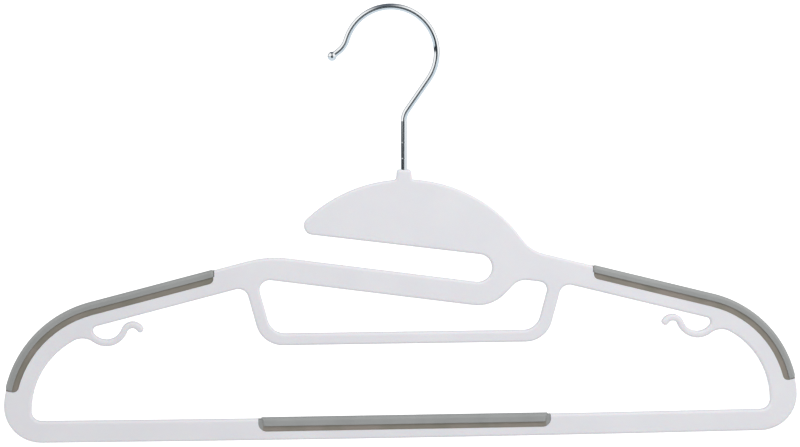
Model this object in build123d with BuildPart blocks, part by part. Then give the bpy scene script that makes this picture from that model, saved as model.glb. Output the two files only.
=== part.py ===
from build123d import *
from math import acos, asin, atan2, cos, degrees, hypot, radians, sin, sqrt
import os

# A flat moulded hanger with rubber-like grips and a swivelling wire hook.
# It stands in the XZ plane, +Z up. The origin is the inside of the hook's crown, where
# the rail bears. Lengths are millimetres, angles are degrees.

# Overall size
half_width = 210.0          # from the swivel's axis to the outermost point of a shoulder
hook_rise = 83.3            # from the collar's top to the crown's inside, on the rail
thickness = 5.0             # of the moulding, front to back
edge_round = 1.4            # on every front and back edge of the moulding
least_flat = 0.5            # kept between two such rounds where the moulding is narrow

# Trouser bar, ends and arms
bar_height = 11.3
bar_bow = 0.9               # the bar sinks by this much from its ends to its middle
arm_width = 12.5
arm_slope = 14.2            # each arm falls outwards by this angle
corner_radius = 19.35       # lower outer corner
shoulder_radius = 60.4      # the long outer curve of a shoulder
end_lean = 6.5              # where corner and shoulder meet, the end leans inwards by this angle
end_width = 14.2            # wall of a rounded end, at its widest part
inner_corner_radius = 5.1
shoulder_wall = 17.2        # between the outer and the inner radius of a shoulder
inner_lean = 1.0

# Fin, strap slot and S-bar, hung from the peak where the arms' upper edges would meet
fin_radius = 75.6
fin_offset = 0.4            # fin's centre, right of the swivel's axis
fin_rise = 21.4             # crest above the peak
fin_tip_radius = 4.7
fin_blend_radius = 21.0     # hollow between fin and right arm
slot_slope = 7.3            # the slot's upper side falls to the right by this angle
s_bar_slope = 7.8           # and its lower side, with the S-bar, by this one
slot_width = 14.9           # at the round end
slot_end_x = 38.9           # centre of that end
slot_end_drop = 25.7        # and its drop below the peak
s_bar_width = 12.3
hump_radius = 56.8          # where the S-bar rolls over into the left arm

# Belt frame
belt_drop = 65.2            # belt bar's underside below the peak
belt_bar_height = 6.1
leg_width = 6.5
leg_angle = 75.0
leg_offset = 36.2           # foot of the right leg, before rounding, beyond the slot's round end
leg_outer_radius = 14.4
leg_inner_radius = 9.2
leg_root_radius = 5.3
window_rise = 16.7          # the belt window steps up by this much right of the S-bar's nose
window_ramp = 46.5
window_crown_radius = 9.5
window_left_radius = 5.3
window_right_radius = 4.7

# Strap hooks
eye_inset = 53.9            # centre of the eye for a strap loop, inwards of the outermost point
eye_drop = 0.35             # and below the arm's underside
eye_radius = 9.9            # to the middle of the strand, as the next radius
curl_radius = 4.6
strand_width = 3.4
curl_turn = 201.0           # direction from the eye's centre to the curl's
curl_end = 150.0            # where the curl's arc ends, at the rounded tip
eye_start = -12.0
eye_corner_radius = 2.7
root_radius = 9.2

# Grips and their seats
grip_start_x = 100.1        # inner end of a shoulder grip's flange, from the swivel's axis
grip_end_angle = 12.6       # outer end, as an angle about the shoulder curve's centre
grip_rise = 0.5             # bead above the arm's edge
bar_grip_rise = 0.7         # and above the bar's
grip_proud = 0.2            # bead beyond each face of the moulding
bead_depth = 3.1            # bead's lower lip, below the moulding's edge
bead_round = 1.8
lip_round = 0.4
bead_overhang = 0.5         # the bead's inner end past the flange's
bead_start_radius = 1.5     # upper corner of its inner end
bead_end_radius = 2.2       # and of its outer end
seat_depth = 6.2            # floor of the pocket, below the moulding's edge
seat_corner_radius = 3.0
flange_recess = 0.8         # flange below each face of the moulding
tongue_thickness = 1.8
tongue_cover = 1.0          # tongue's top below the moulding's edge
bar_grip_length = 155.0
bar_bead_depth = 3.6
bar_seat_depth = 6.5
bar_seat_radius = 4.4
bar_bead_inset = 1.6        # the bar grip's bead is shorter by this much at each end
bar_bead_slant = 1.0        # and its ends lean in by this much from top to lip

# Hook
wire_diameter = 3.2
bowl_radius = 24.0          # to the middle of the wire, as the next radii
bowl_offset = 6.6           # bowl's centre, left of the shank
throat_lean = 35.0          # wire's slant where it leaves the bowl for the shank
throat_radius = 10.0
nape_angle = 163.0          # where the bowl's arc ends and the tip's reverse bend starts
tip_radius = 12.2
tip_turn = 36.5
tip_length = 4.0            # straight, from the reverse bend to the ball's centre
ball_diameter = 4.8

# Collar and swivel joint
collar_rise = 5.3           # top above the fin's crest
collar_top_width = 7.3
collar_draft = 6.0          # each side leans out by this angle on its way down
collar_round = 1.4          # upper corners, in the front view
collar_blend_radius = 1.5   # hollows where the collar stands on the fin
running_clearance = 0.05    # radial, between the wire and its bore
end_clearance = 0.1         # axial
bore_depth = 14.0
neck_depth = 0.45           # groove round the wire
neck_length = 1.6
neck_rise = 3.0             # lower edge of the neck, above the wire's end
wire_end_chamfer = 0.4

overrun = 2.0               # cuts reach past the solid by this much

wire_radius = wire_diameter / 2
half_thickness = thickness / 2
body_round = min(edge_round, (strand_width - least_flat) / 2, (thickness - least_flat) / 2)
arm_normal = 90 - arm_slope
bow_radius = (half_width ** 2 + bar_bow ** 2) / (2 * bar_bow)


def polar(centre, radius, angle):
    """The point at this angle on a circle."""
    return centre[0] + radius * cos(radians(angle)), centre[1] + radius * sin(radians(angle))


def meet(point_a, angle_a, point_b, angle_b):
    """The point where two lines cross, each given by a point and an angle."""
    ax, ay = cos(radians(angle_a)), sin(radians(angle_a))
    bx, by = cos(radians(angle_b)), sin(radians(angle_b))
    dx, dy = point_b[0] - point_a[0], point_b[1] - point_a[1]
    along = (dx * by - dy * bx) / (ax * by - ay * bx)
    return point_a[0] + along * ax, point_a[1] + along * ay


def cross(point, angle, centre, radius, side=1):
    """Where a line meets a circle: side 1 is the later crossing along the line, -1 the earlier."""
    ux, uy = cos(radians(angle)), sin(radians(angle))
    px, py = point[0] - centre[0], point[1] - centre[1]
    middle = px * ux + py * uy
    along = side * sqrt(middle ** 2 - px ** 2 - py ** 2 + radius ** 2) - middle
    return point[0] + along * ux, point[1] + along * uy


def circles_cross(centre_a, radius_a, centre_b, radius_b):
    """Where two circles cross, on the right of the line from the second centre to the first."""
    dx, dy = centre_a[0] - centre_b[0], centre_a[1] - centre_b[1]
    apart = hypot(dx, dy)
    along = (apart ** 2 + radius_b ** 2 - radius_a ** 2) / (2 * apart)
    aside = sqrt(radius_b ** 2 - along ** 2)
    return (centre_b[0] + (along * dx + aside * dy) / apart,
            centre_b[1] + (along * dy - aside * dx) / apart)


def nearest(sketch, point):
    """The sketch's corner that lies nearest to a point."""
    return sketch.vertices().sort_by_distance((point[0], point[1], 0))[0]


def bowed_corner(x, base, radius):
    """Centre of a corner's arc that runs on smoothly from the bar's bowed edge."""
    return x, base + bow_radius - sqrt((bow_radius - radius) ** 2 - x ** 2)


# Places in the front view: x from the swivel's axis, height from the middle of the bar's underside
corner_centre = bowed_corner(half_width - corner_radius, 0, corner_radius)
shoulder_centre = polar(corner_centre, corner_radius - shoulder_radius, end_lean)
arm_top = polar(shoulder_centre, shoulder_radius, arm_normal)
arm_underside = polar(arm_top, -arm_width, arm_normal)
peak = meet(arm_top, -arm_slope, (0, 0), 90)

inner_corner_x = half_width - end_width - inner_corner_radius
inner_corner_centre = bowed_corner(inner_corner_x, bar_height, inner_corner_radius)
inner_shoulder_radius = shoulder_radius - shoulder_wall
inner_shoulder_centre = polar(inner_corner_centre, inner_corner_radius - inner_shoulder_radius, inner_lean)

fin_crest = peak[1] + fin_rise
collar_height = fin_crest + collar_rise
hang_drop = collar_height + hook_rise
front = Plane(origin=(bowl_offset, 0, -hang_drop), x_dir=(1, 0, 0), z_dir=(0, -1, 0))

slot_end = (slot_end_x, peak[1] - slot_end_drop)
slot_top = polar(slot_end, slot_width / 2, 90 - slot_slope)
slot_floor = polar(slot_end, -slot_width / 2, 90 - s_bar_slope)
fin_centre = (fin_offset, fin_crest - fin_radius)
fin_tip = cross(slot_top, 180 - slot_slope, fin_centre, fin_radius)
fin_foot = cross(arm_top, 180 - arm_slope, fin_centre, fin_radius, side=-1)
collar_sides = [((side * collar_top_width / 2, collar_height), side * collar_draft - 90)
                for side in (-1, 1)]
hump_corner = meet(slot_floor, -s_bar_slope, peak, arm_slope)

nose_radius = slot_width / 2 + s_bar_width
s_bar_underside = polar(slot_end, -nose_radius, 90 - s_bar_slope)
nose_front = polar(slot_end, nose_radius, window_ramp - 90)
step_top = polar(s_bar_underside, window_rise, 90 - s_bar_slope)

belt_base = peak[1] - belt_drop
leg_foot_outer = (slot_end_x + leg_offset, belt_base)
leg_root = meet(leg_foot_outer, leg_angle, arm_underside, -arm_slope)
belt_bar_top = belt_base + belt_bar_height
leg_foot_inner = meet(polar(leg_foot_outer, leg_width, leg_angle + 90), leg_angle, (0, belt_bar_top), 0)

over_eye = meet((half_width - eye_inset, 0), 90, arm_underside, -arm_slope)
eye_centre = (over_eye[0], over_eye[1] - eye_drop)
curl_centre = polar(eye_centre, eye_radius + curl_radius, curl_turn)
strand_tip = polar(curl_centre, curl_radius, curl_end)
eye_inside = eye_radius - strand_width / 2
eye_outside = eye_radius + strand_width / 2
eye_corner = cross(over_eye, -arm_slope, eye_centre, eye_inside)
strand_root = circles_cross(eye_centre, eye_outside, inner_shoulder_centre, inner_shoulder_radius)
bead_start_x = grip_start_x - bead_overhang


def bar_to_shoulder(base, corner, corner_r, centre, centre_r, lean, top_angle):
    """From the bar's middle along its edge, round the right corner and up the shoulder's curve."""
    bow_angle = degrees(asin(corner[0] / (bow_radius - corner_r)))
    CenterArc((0, base + bow_radius), bow_radius, -90, bow_angle)
    CenterArc(corner, corner_r, bow_angle - 90, 90 - bow_angle + lean)
    return CenterArc(centre, centre_r, lean, top_angle - lean)


# Outer shape, with both arms run straight up to a peak
with BuildSketch() as silhouette:
    with BuildLine():
        shoulder = bar_to_shoulder(0, corner_centre, corner_radius, shoulder_centre, shoulder_radius,
                                   end_lean, arm_normal)
        Polyline(shoulder @ 1, peak, (0, 0))
    make_face()
    mirror(about=Plane.YZ)

# Right half of the large window, with a strap hook left standing in it
curve_top = degrees(acos((eye_centre[0] - inner_shoulder_centre[0]) / inner_shoulder_radius))
eye_angle = degrees(atan2(eye_corner[1] - eye_centre[1], eye_corner[0] - eye_centre[0]))
with BuildSketch() as half_window:
    with BuildLine():
        shoulder = bar_to_shoulder(bar_height, inner_corner_centre, inner_corner_radius,
                                   inner_shoulder_centre, inner_shoulder_radius, inner_lean, curve_top)
        Line(shoulder @ 1, over_eye)
        belt_frame = FilletPolyline(over_eye, leg_root, leg_foot_outer, (0, belt_base),
                                    radius=(leg_root_radius, leg_outer_radius))
        Line(belt_frame @ 1, (0, bar_height))
    make_face()
    with BuildLine():
        Line(over_eye, eye_corner)
        eye_wall = CenterArc(eye_centre, eye_inside, eye_angle, -90 - eye_angle)
        Line(eye_wall @ 1, over_eye)
    make_face()
    with BuildLine() as strand:
        CenterArc(eye_centre, eye_radius, eye_start, curl_turn - 360 - eye_start)
        CenterArc(curl_centre, curl_radius, curl_turn - 180, curl_end - curl_turn + 180)
    trace(strand.line, strand_width, mode=Mode.SUBTRACT)
    with Locations(strand_tip):
        Circle(strand_width / 2, mode=Mode.SUBTRACT)
    fillet(nearest(half_window, eye_corner), eye_corner_radius)
    fillet(nearest(half_window, strand_root), root_radius)

# The belt window steps up beside the nose that the S-bar makes round the slot's end
with BuildSketch() as belt_window:
    with BuildLine():
        FilletPolyline(
            (-leg_foot_inner[0], leg_foot_inner[1]),
            leg_foot_inner,
            meet(step_top, -s_bar_slope, leg_foot_inner, leg_angle),
            meet(step_top, -s_bar_slope, nose_front, window_ramp),
            meet(s_bar_underside, -s_bar_slope, nose_front, window_ramp),
            meet(s_bar_underside, -s_bar_slope, (-leg_foot_inner[0], leg_foot_inner[1]), -leg_angle),
            radius=(leg_inner_radius, leg_inner_radius, window_right_radius,
                    window_crown_radius, nose_radius, window_left_radius),
            close=True,
        )
    make_face()

# Whole front view of the moulding: arms, fin and slot, then the windows
with BuildSketch() as outline:
    add(silhouette.sketch)
    with BuildLine():
        ThreePointArc(fin_foot, (fin_offset, fin_crest), fin_tip)
        Polyline(fin_tip, slot_end, fin_foot)
    make_face()
    with BuildLine():
        (left_corner, left_way), (right_corner, right_way) = collar_sides
        Polyline(polar(left_corner, 2 * collar_rise, left_way), left_corner, right_corner,
                 polar(right_corner, 2 * collar_rise, right_way), close=True)
    make_face()
    with BuildLine():
        Polyline(slot_end, slot_top, meet(slot_top, -slot_slope, (-half_width, 0), 90),
                 meet(slot_floor, -s_bar_slope, (-half_width, 0), 90), slot_floor, close=True)
    make_face(mode=Mode.SUBTRACT)
    with Locations(slot_end):
        Circle(slot_width / 2, mode=Mode.SUBTRACT)
    fillet(nearest(outline, hump_corner), hump_radius)
    fillet(nearest(outline, fin_tip), fin_tip_radius)
    fillet(nearest(outline, fin_foot), fin_blend_radius)
    for corner, way in collar_sides:
        fillet(nearest(outline, corner), collar_round)
        fillet(nearest(outline, cross(corner, way, fin_centre, fin_radius, side=-1)), collar_blend_radius)
    add(half_window.sketch, mode=Mode.SUBTRACT)
    add(half_window.sketch.mirror(Plane.YZ), mode=Mode.SUBTRACT)
    add(belt_window.sketch, mode=Mode.SUBTRACT)


def arm_strip(rise, depth, start_x=bead_start_x):
    """A strip along the right arm's edge and round its shoulder, from above the edge to a depth."""
    outer_start = polar(arm_top, rise, arm_normal)
    inner_start = polar(arm_top, -depth, arm_normal)
    span = arm_normal - grip_end_angle
    outer = CenterArc(shoulder_centre, shoulder_radius + rise, arm_normal, -span)
    inner = CenterArc(shoulder_centre, shoulder_radius - depth, grip_end_angle, span)
    Line(outer @ 1, inner @ 0)
    Polyline(
        inner @ 1,
        meet(inner_start, -arm_slope, (start_x, 0), 90),
        meet(outer_start, -arm_slope, (start_x, 0), 90),
        outer @ 0,
    )


# Front views of the seat in the right arm, which steps inwards for the bead's overhang, and of the
# flange and the tongue that fill it
with BuildSketch() as arm_seat:
    with BuildLine():
        arm_strip(overrun, seat_depth, grip_start_x)
    make_face()
    fillet(nearest(arm_seat, meet(polar(arm_top, -seat_depth, arm_normal), -arm_slope,
                                  (grip_start_x, 0), 90)), seat_corner_radius)
    fillet(nearest(arm_seat, polar(shoulder_centre, shoulder_radius - seat_depth, grip_end_angle)),
           seat_corner_radius)
    with BuildLine():
        arm_strip(overrun, bead_depth)
    make_face()

with BuildSketch() as arm_flange:
    add(arm_seat.sketch)
    with BuildLine():
        arm_strip(2 * overrun, 0)
    make_face(mode=Mode.SUBTRACT)

with BuildSketch() as arm_tongue:
    add(arm_seat.sketch)
    with BuildLine():
        arm_strip(2 * overrun, tongue_cover)
    make_face(mode=Mode.SUBTRACT)

# The bead's blank reaches below its lip, so that only its upper edges keep their rounding
with BuildSketch() as arm_bead:
    with BuildLine():
        arm_strip(grip_rise, bead_depth + overrun)
    make_face()
    fillet(nearest(arm_bead, meet(polar(arm_top, grip_rise, arm_normal), -arm_slope,
                                  (bead_start_x, 0), 90)), bead_start_radius)
    fillet(nearest(arm_bead, polar(shoulder_centre, shoulder_radius + grip_rise, grip_end_angle)),
           bead_end_radius)

with BuildSketch() as arm_below_bead:
    with BuildLine():
        arm_strip(-bead_depth, bead_depth + 2 * overrun)
    make_face()


def bar_block(top, bottom, top_inset=0, bottom_inset=0):
    """A strip on the middle of the trouser bar, between two heights above the bar's edge."""
    top_x = bar_grip_length / 2 - top_inset
    bottom_x = bar_grip_length / 2 - bottom_inset
    top_y, bottom_y = bar_height + top, bar_height + bottom
    Polyline((-top_x, top_y), (top_x, top_y), (bottom_x, bottom_y), (-bottom_x, bottom_y), close=True)


# The same views of the bar's seat and grip
with BuildSketch() as bar_seat:
    with BuildLine():
        bar_block(overrun, -bar_seat_depth)
    make_face()
    fillet(bar_seat.vertices().group_by(Axis.Y)[0], bar_seat_radius)

with BuildSketch() as bar_flange:
    add(bar_seat.sketch)
    with BuildLine():
        bar_block(2 * overrun, 0)
    make_face(mode=Mode.SUBTRACT)

with BuildSketch() as bar_tongue:
    add(bar_seat.sketch)
    with BuildLine():
        bar_block(2 * overrun, -tongue_cover)
    make_face(mode=Mode.SUBTRACT)

bead_slope = bar_bead_slant / (bar_grip_rise + bar_bead_depth)
with BuildSketch() as bar_bead:
    with BuildLine():
        bar_block(bar_grip_rise, -bar_bead_depth - overrun, bar_bead_inset,
                  bar_bead_inset + bar_bead_slant + overrun * bead_slope)
    make_face()

with BuildSketch() as bar_below_bead:
    with BuildLine():
        bar_block(-bar_bead_depth, -bar_bead_depth - 2 * overrun)
    make_face()

# Swivel joint: a lip in the collar's bore stands in the neck of the hook's wire
swivel_axis = Axis((bowl_offset, 0, 0), (0, 0, 1))
bore_radius = wire_radius + running_clearance
bore_floor = collar_height - bore_depth
wire_end = bore_floor + end_clearance
neck_radius = wire_radius - neck_depth
neck_floor = wire_end + neck_rise
neck_top = neck_floor + neck_length
lip_radius = neck_radius + running_clearance

# Moulded body
with BuildPart() as hanger_body:
    with BuildSketch(front):
        add(outline.sketch)
    extrude(amount=half_thickness, both=True)
    fillet(hanger_body.faces().filter_by(Axis.Y).edges(), body_round)

    with BuildSketch(front):
        add(arm_seat.sketch)
        add(arm_seat.sketch.mirror(Plane.YZ))
        add(bar_seat.sketch)
    extrude(amount=half_thickness + overrun, both=True, mode=Mode.SUBTRACT)
    with BuildSketch(front):
        add(arm_tongue.sketch)
        add(arm_tongue.sketch.mirror(Plane.YZ))
        add(bar_tongue.sketch)
    extrude(amount=tongue_thickness / 2, both=True)

    with BuildSketch(front):
        with BuildLine():
            Polyline(
                (0, bore_floor),
                (bore_radius, bore_floor),
                (bore_radius, neck_floor + end_clearance),
                (lip_radius, neck_floor + end_clearance),
                (lip_radius, neck_top - end_clearance),
                (bore_radius, neck_top - end_clearance),
                (bore_radius, collar_height + overrun),
                (0, collar_height + overrun),
                close=True,
            )
        make_face()
    revolve(axis=swivel_axis, mode=Mode.SUBTRACT)

# Grips: a bead on the edge, a flange that fills the seat, and a slot for the tongue
bead_half = half_thickness + grip_proud
flange_half = half_thickness - flange_recess

with BuildPart() as right_shoulder_grip:
    with BuildSketch(front):
        add(arm_bead.sketch)
    extrude(amount=bead_half, both=True)
    fillet(right_shoulder_grip.faces().filter_by(Axis.Y).edges(), bead_round)
    with BuildSketch(front):
        add(arm_below_bead.sketch)
    extrude(amount=bead_half + overrun, both=True, mode=Mode.SUBTRACT)
    lips = right_shoulder_grip.edges(Select.LAST).group_by(Axis.Y)
    fillet(lips[0] + lips[-1], lip_round)
    with BuildSketch(front):
        add(arm_flange.sketch)
    extrude(amount=flange_half, both=True)
    with BuildSketch(front):
        add(arm_tongue.sketch)
    extrude(amount=tongue_thickness / 2, both=True, mode=Mode.SUBTRACT)

with BuildPart() as left_shoulder_grip:
    mirror(right_shoulder_grip.part, about=Plane.YZ.offset(bowl_offset))

with BuildPart() as bar_grip:
    with BuildSketch(front):
        add(bar_bead.sketch)
    extrude(amount=bead_half, both=True)
    fillet(bar_grip.faces().filter_by(Axis.Y).edges(), bead_round)
    with BuildSketch(front):
        add(bar_below_bead.sketch)
    extrude(amount=bead_half + overrun, both=True, mode=Mode.SUBTRACT)
    lips = bar_grip.edges(Select.LAST).group_by(Axis.Y)
    fillet(lips[0] + lips[-1], lip_round)
    with BuildSketch(front):
        add(bar_flange.sketch)
    extrude(amount=flange_half, both=True)
    with BuildSketch(front):
        add(bar_tongue.sketch)
    extrude(amount=tongue_thickness / 2, both=True, mode=Mode.SUBTRACT)

# Wire hook
bowl_centre = (-bowl_offset, hang_drop - bowl_radius + wire_radius)
throat_top = polar(bowl_centre, bowl_radius, -throat_lean)
tip_centre = polar(bowl_centre, bowl_radius + tip_radius, nape_angle)
tip_start = polar(tip_centre, tip_radius, nape_angle - 180 - tip_turn)
ball_centre = polar(tip_start, tip_length, nape_angle + 90 - tip_turn)
with BuildPart() as swivel_hook:
    with BuildLine(front) as wire_path:
        FilletPolyline((0, wire_end), meet((0, 0), 90, throat_top, 90 - throat_lean), throat_top,
                       radius=throat_radius)
        CenterArc(bowl_centre, bowl_radius, -throat_lean, throat_lean + nape_angle)
        CenterArc(tip_centre, tip_radius, nape_angle - 180, -tip_turn)
        Line(tip_start, ball_centre)
    with BuildSketch(Plane(front.from_local_coords((0, wire_end)))):
        Circle(wire_radius)
    sweep(path=wire_path.line)
    chamfer(swivel_hook.faces().sort_by(Axis.Z)[0].edges(), wire_end_chamfer)
    with Locations(front.from_local_coords(ball_centre)):
        Sphere(ball_diameter / 2)
    with BuildSketch(front):
        with BuildLine():
            Polyline((neck_radius, neck_floor), (wire_radius + overrun, neck_floor),
                     (wire_radius + overrun, neck_top), (neck_radius, neck_top), close=True)
        make_face()
    revolve(axis=swivel_axis, mode=Mode.SUBTRACT)

pieces = {
    "swivel_hook": swivel_hook,
    "hanger_body": hanger_body,
    "left_shoulder_grip": left_shoulder_grip,
    "right_shoulder_grip": right_shoulder_grip,
    "bar_grip": bar_grip,
}
os.makedirs("parts", exist_ok=True)
for name, piece in pieces.items():
    piece.part.label = name
    export_step(piece.part, f"parts/{name}.step")
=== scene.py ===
from math import cos, radians, sin

import bpy
from mathutils import Matrix, Vector

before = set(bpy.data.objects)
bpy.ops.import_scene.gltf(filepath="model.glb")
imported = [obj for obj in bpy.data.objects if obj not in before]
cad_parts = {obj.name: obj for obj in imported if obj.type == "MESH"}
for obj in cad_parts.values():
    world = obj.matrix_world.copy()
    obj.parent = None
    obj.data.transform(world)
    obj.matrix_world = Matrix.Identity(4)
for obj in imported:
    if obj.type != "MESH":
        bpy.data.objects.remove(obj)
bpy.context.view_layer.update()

# Camera: a long lens a little above and to the left of the hanger's middle
AIM = Vector((0.00441, 0.0, -0.1117))
YAW, PITCH, ROLL = radians(-3.876), radians(6.0), radians(-0.243)
DISTANCE = 1.1875
FOCAL_PIXELS, FRAME_PIXELS = 2264.15, 800

forward = Vector((-sin(YAW) * cos(PITCH), cos(YAW) * cos(PITCH), -sin(PITCH)))
level_right = Vector((cos(YAW), sin(YAW), 0.0))
level_up = level_right.cross(forward)
right = cos(ROLL) * level_right + sin(ROLL) * level_up
up = -sin(ROLL) * level_right + cos(ROLL) * level_up

camera_data = bpy.data.cameras.new("camera")
camera_data.sensor_fit = "HORIZONTAL"
camera_data.sensor_width = 36.0
camera_data.lens = FOCAL_PIXELS / FRAME_PIXELS * camera_data.sensor_width
camera_data.clip_end = 100.0
camera = bpy.data.objects.new("camera", camera_data)
turn = Matrix((right, up, -forward)).transposed().to_4x4()
camera.matrix_world = Matrix.Translation(AIM - forward * DISTANCE) @ turn
bpy.context.collection.objects.link(camera)
bpy.context.scene.camera = camera
bpy.context.scene.view_settings.view_transform = "Standard"


def linear(r, g, b):
    """An sRGB colour given as 0 to 255, in linear values."""
    def channel(v):
        v /= 255.0
        return v / 12.92 if v <= 0.04045 else ((v + 0.055) / 1.055) ** 2.4
    return channel(r), channel(g), channel(b), 1.0


class Nodes:
    """A material's or world's node tree, with short ways to add and join nodes."""

    def __init__(self, owner):
        owner.use_nodes = True
        self.tree = owner.node_tree
        self.tree.nodes.clear()

    def add(self, kind, inputs=None, **settings):
        node = self.tree.nodes.new(kind)
        for key, value in settings.items():
            setattr(node, key, value)
        for key, value in (inputs or {}).items():
            self.put(node.inputs[key], value)
        return node

    def put(self, socket, value):
        if isinstance(value, bpy.types.NodeSocket):
            self.tree.links.new(value, socket)
        else:
            socket.default_value = value

    def math(self, operation, a, b=0.0, c=0.0, clamp=False):
        return self.add("ShaderNodeMath", {0: a, 1: b, 2: c}, operation=operation, use_clamp=clamp).outputs[0]

    def step(self, value, low, high):
        """0 below low, 1 above high, smooth between."""
        node = self.add("ShaderNodeMapRange", {"Value": value, "From Min": low, "From Max": high},
                        interpolation_type="SMOOTHSTEP")
        return node.outputs["Result"]

    def mix(self, factor, a, b):
        node = self.add("ShaderNodeMix", data_type="RGBA")
        self.put(node.inputs[0], factor)
        self.put(node.inputs[6], a)
        self.put(node.inputs[7], b)
        return node.outputs[2]

    def noise(self, vector, scale, detail=3.0, roughness=0.5):
        return self.add("ShaderNodeTexNoise", {"Vector": vector, "Scale": scale, "Detail": detail,
                                               "Roughness": roughness}).outputs["Fac"]

    def ramp(self, value, stops):
        node = self.add("ShaderNodeValToRGB", {"Fac": value})
        elements = node.color_ramp.elements
        while len(elements) < len(stops):
            elements.new(0.5)
        for element, (position, colour) in zip(elements, stops):
            element.position = position
            element.color = colour
        return node.outputs["Color"]


def plastic():
    """White moulded plastic: satin, faintly mottled, with a very fine moulded grain."""
    material = bpy.data.materials.new("white_plastic")
    n = Nodes(material)
    place = n.add("ShaderNodeTexCoord").outputs["Object"]
    mottle = n.noise(place, 28.0, 4.0, 0.55)
    colour = n.ramp(mottle, [(0.3, linear(225, 225, 230)), (0.7, linear(229, 229, 233))])
    grain = n.noise(place, 1600.0, 2.0)
    flow = n.noise(place, 90.0, 2.0)
    height = n.math("MULTIPLY_ADD", flow, 3.0, grain)
    bump = n.add("ShaderNodeBump", {"Height": height, "Strength": 0.12, "Distance": 0.00004})
    roughness = n.step(n.noise(place, 60.0), -0.4, 1.7)
    shader = n.add("ShaderNodeBsdfPrincipled", {
        "Base Color": colour, "Roughness": n.math("MULTIPLY_ADD", roughness, 0.12, 0.36),
        "IOR": 1.48, "Specular IOR Level": 0.3, "Normal": bump.outputs["Normal"],
        "Subsurface Weight": 0.15, "Subsurface Scale": 0.002})
    n.add("ShaderNodeOutputMaterial", {"Surface": shader.outputs[0]})
    return material


# Grips, in metres: where the flange lies, and where the bar grip's bead ends, which bound the flange's
# painted shade
SWIVEL_X = 0.0066
FLANGE_DEPTH = 0.00171       # the flange is nearer to the hanger's middle plane than this
BAR_BEAD_END = 0.0748        # from the swivel's axis
BAR_GRIP_LIMIT = 0.085       # past the bar grip, before the shoulder grips


def rubber():
    """Grey soft rubber: a pale bead over a flange with painted shade, darker and browner, which is left pale
    past the bar's bead.
    """
    material = bpy.data.materials.new("grip_rubber")
    n = Nodes(material)
    place = n.add("ShaderNodeTexCoord").outputs["Object"]
    parts = n.add("ShaderNodeSeparateXYZ", {0: place})
    depth = n.math("ABSOLUTE", parts.outputs["Y"])
    # The flange's painted shade: recessed faces turned to the front or back, but not past the bar's bead
    flange_shade_mask = n.math("SUBTRACT", 1.0, n.step(depth, FLANGE_DEPTH, FLANGE_DEPTH + 0.00005))
    facing = n.add("ShaderNodeSeparateXYZ", {0: n.add("ShaderNodeNewGeometry").outputs["Normal"]})
    flange_shade_mask = n.math("MULTIPLY", flange_shade_mask, n.step(n.math("ABSOLUTE", facing.outputs["Y"]), 0.8, 0.95))
    along = n.math("ABSOLUTE", n.math("SUBTRACT", parts.outputs["X"], SWIVEL_X))
    past_bead = n.math("MULTIPLY", n.step(along, BAR_BEAD_END, BAR_BEAD_END + 0.0006),
                       n.math("LESS_THAN", along, BAR_GRIP_LIMIT))
    flange_shade_mask = n.math("MULTIPLY", flange_shade_mask, n.math("SUBTRACT", 1.0, past_bead))
    mottle = n.noise(place, 60.0, 4.0, 0.6)
    bead = n.ramp(mottle, [(0.3, linear(151, 153, 152)), (0.7, linear(159, 161, 160))])
    patches = n.noise(place, 75.0, 2.0)
    # Painted shade under the bead's lip: a darker, browner grey for the flange
    flange_shade_colour = n.ramp(patches, [(0.35, linear(134, 130, 118)), (0.65, linear(149, 140, 131))])
    colour = n.mix(flange_shade_mask, bead, flange_shade_colour)
    grain = n.noise(place, 2600.0, 3.0, 0.6)
    bump = n.add("ShaderNodeBump", {"Height": grain, "Strength": 0.25, "Distance": 0.00005})
    shader = n.add("ShaderNodeBsdfPrincipled", {
        "Base Color": colour, "Roughness": n.math("MULTIPLY_ADD", mottle, 0.14, 0.32),
        "Specular IOR Level": 0.7, "Normal": bump.outputs["Normal"]})
    n.add("ShaderNodeOutputMaterial", {"Surface": shader.outputs[0]})
    return material


# Fine rings round the shank, in metres: each one's level and height, and their half width
RINGS = ((-0.0695, 0.000007), (-0.0777, 0.00001))
RING_HALF_WIDTH = 0.0006


def chrome():
    """Bright plated steel wire, with faint drawing marks and two fine rings where it was gripped."""
    material = bpy.data.materials.new("plated_steel")
    n = Nodes(material)
    place = n.add("ShaderNodeTexCoord").outputs["Object"]
    drawn = n.add("ShaderNodeMapping", {"Vector": place, "Scale": (1.0, 1.0, 0.05)})
    streaks = n.noise(drawn.outputs[0], 900.0)
    colour = n.ramp(streaks, [(0.3, (0.86, 0.88, 0.90, 1.0)), (0.7, (0.92, 0.94, 0.95, 1.0))])
    level = n.add("ShaderNodeSeparateXYZ", {0: place}).outputs["Z"]
    rings = 0.0
    for ring_level, ring_height in RINGS:
        away = n.math("ABSOLUTE", n.math("SUBTRACT", level, ring_level))
        rings = n.math("MULTIPLY_ADD", n.step(away, RING_HALF_WIDTH, 0.0), ring_height, rings)
    ringed = n.add("ShaderNodeBump", {"Height": rings, "Strength": 1.0, "Distance": 1.0})
    bump = n.add("ShaderNodeBump", {"Height": streaks, "Strength": 0.05, "Distance": 0.00002,
                                    "Normal": ringed.outputs["Normal"]})
    shader = n.add("ShaderNodeBsdfPrincipled", {
        "Base Color": colour, "Metallic": 1.0, "Roughness": n.math("MULTIPLY_ADD", streaks, 0.04, 0.06),
        "Normal": bump.outputs["Normal"]})
    n.add("ShaderNodeOutputMaterial", {"Surface": shader.outputs[0]})
    return material


finishes = {"swivel_hook": chrome(), "hanger_body": plastic()}
grip_finish = rubber()
for name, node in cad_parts.items():
    node.data.materials.clear()
    node.data.materials.append(finishes.get(name, grip_finish))   # the other three nodes are grips

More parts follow.
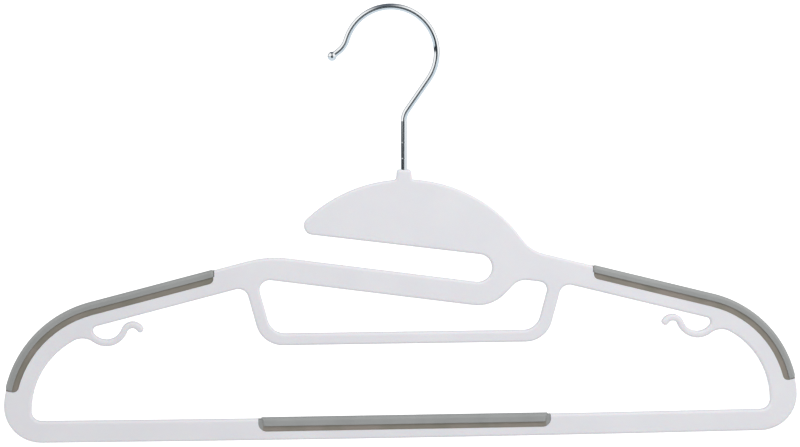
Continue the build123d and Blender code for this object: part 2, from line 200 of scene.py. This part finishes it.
# Floor, well below the hanger and wide enough to fill the camera's frame
FLOOR = -0.45
FLOOR_SIZE = 160.0
FLOOR_GREY = 0.82
FLOOR_GLOW = 0.62            # added where the camera sees it, so that it reads white
bpy.ops.mesh.primitive_plane_add(size=FLOOR_SIZE, location=(0.0, 0.0, FLOOR))
floor = bpy.context.object
floor.name = "floor"
floor.visible_glossy = False
floor_material = bpy.data.materials.new("floor")
n = Nodes(floor_material)
matte = n.add("ShaderNodeBsdfDiffuse", {"Color": (FLOOR_GREY, FLOOR_GREY, FLOOR_GREY, 1.0)})
seen = n.add("ShaderNodeLightPath").outputs["Is Camera Ray"]
glow = n.add("ShaderNodeEmission", {"Color": (1.0, 1.0, 1.0, 1.0),
                                    "Strength": n.math("MULTIPLY", seen, FLOOR_GLOW)})
both = n.add("ShaderNodeAddShader", {0: matte.outputs[0], 1: glow.outputs[0]})
n.add("ShaderNodeOutputMaterial", {"Surface": both.outputs[0]})
floor.data.materials.append(floor_material)

# World: white where it is seen, soft light from all round, and a studio for reflections.
# Directions are unit vectors: side is to the right, depth is to the back, height is up.
world = bpy.data.worlds.new("studio")
bpy.context.scene.world = world
n = Nodes(world)
toward = n.add("ShaderNodeTexCoord").outputs["Generated"]
way = n.add("ShaderNodeSeparateXYZ", {0: toward})
side, depth, height = (way.outputs[axis] for axis in "XYZ")
path = n.add("ShaderNodeLightPath")
white = (1.0, 1.0, 1.0, 1.0)


def within(value, middle, half, blur):
    """1 where the value is nearer to the middle than half, 0 outside, with a soft edge."""
    away = n.math("ABSOLUTE", n.math("SUBTRACT", value, middle))
    return n.math("SUBTRACT", 1.0, n.step(away, half - blur, half + blur))


# The studio: pale walls, greyer behind, and a cooler low side
walls = n.mix(n.step(depth, 0.0, 0.5), white, (0.44, 0.46, 0.48, 1.0))
below = n.mix(n.step(height, -0.7, -0.2), (0.69, 0.77, 0.83, 1.0), (0.66, 0.75, 0.815, 1.0))
room = n.mix(n.step(height, -0.16, 0.02), below, walls)

# A dark gap overhead, wider towards the back, and the dark camera in front
slant = n.math("DIVIDE", side, n.math("MAXIMUM", height, 0.001))
slant = n.math("MULTIPLY", slant, n.math("MULTIPLY_ADD", depth, -0.5, 1.0))
gap = n.math("MULTIPLY", within(slant, -0.05, 0.38, 0.3), n.step(height, 0.0, 0.1))
room = n.mix(n.math("MULTIPLY", gap, 0.95), room, (0.09, 0.11, 0.14, 1.0))
squat = n.add("ShaderNodeVectorMath", {0: toward, 1: (1.0, 1.0, 0.85)}, operation="MULTIPLY")
lens = n.add("ShaderNodeVectorMath", {0: squat.outputs["Vector"], 1: (-0.04, -0.985, -0.10)},
             operation="DISTANCE")
room = n.mix(n.step(lens.outputs["Value"], 0.60, 0.44), room, (0.016, 0.028, 0.036, 1.0))

# Just below the horizon a dark shelf runs off to the left and a pale one to the right
dark_shelf = n.math("MULTIPLY", within(height, -0.11, 0.06, 0.03), n.step(side, -0.1, -0.2))
dark_shelf = n.math("MULTIPLY", dark_shelf, n.math("SUBTRACT", 1.0, n.step(depth, 0.2, 0.9)))
room = n.mix(dark_shelf, room, (0.012, 0.017, 0.022, 1.0))
pale_shelf = n.math("MULTIPLY", within(height, -0.105, 0.035, 0.02), n.step(side, -0.06, 0.0))
room = n.mix(pale_shelf, room, (0.72, 0.76, 0.79, 1.0))

# The soft light is stronger from both sides, most of all from the left
aside = n.math("MULTIPLY_ADD", side, 0.36, -0.075)
soft = n.math("MULTIPLY_ADD", side, aside, n.math("MULTIPLY_ADD", height, -0.08, 0.75))
grey = n.add("ShaderNodeCombineXYZ", {0: soft, 1: soft, 2: soft}).outputs[0]
colour = n.mix(path.outputs["Is Glossy Ray"], grey, room)
colour = n.mix(path.outputs["Is Camera Ray"], colour, white)
background = n.add("ShaderNodeBackground", {"Color": colour, "Strength": 1.0})
n.add("ShaderNodeOutputWorld", {"Surface": background.outputs[0]})


# Key light: one large soft lamp above, in front and to the right
KEY_PLACE = Vector((0.25, -0.45, 0.35))
KEY_WIDTH, KEY_HEIGHT = 0.35, 0.25
KEY_WATTS = 1.8
key_data = bpy.data.lights.new("key", "AREA")
key_data.shape = "RECTANGLE"
key_data.size, key_data.size_y = KEY_WIDTH, KEY_HEIGHT
key_data.energy = KEY_WATTS
key = bpy.data.objects.new("key", key_data)
key.location = KEY_PLACE
key.rotation_euler = (AIM - KEY_PLACE).to_track_quat("-Z", "Y").to_euler()
key.visible_glossy = False
bpy.context.collection.objects.link(key)
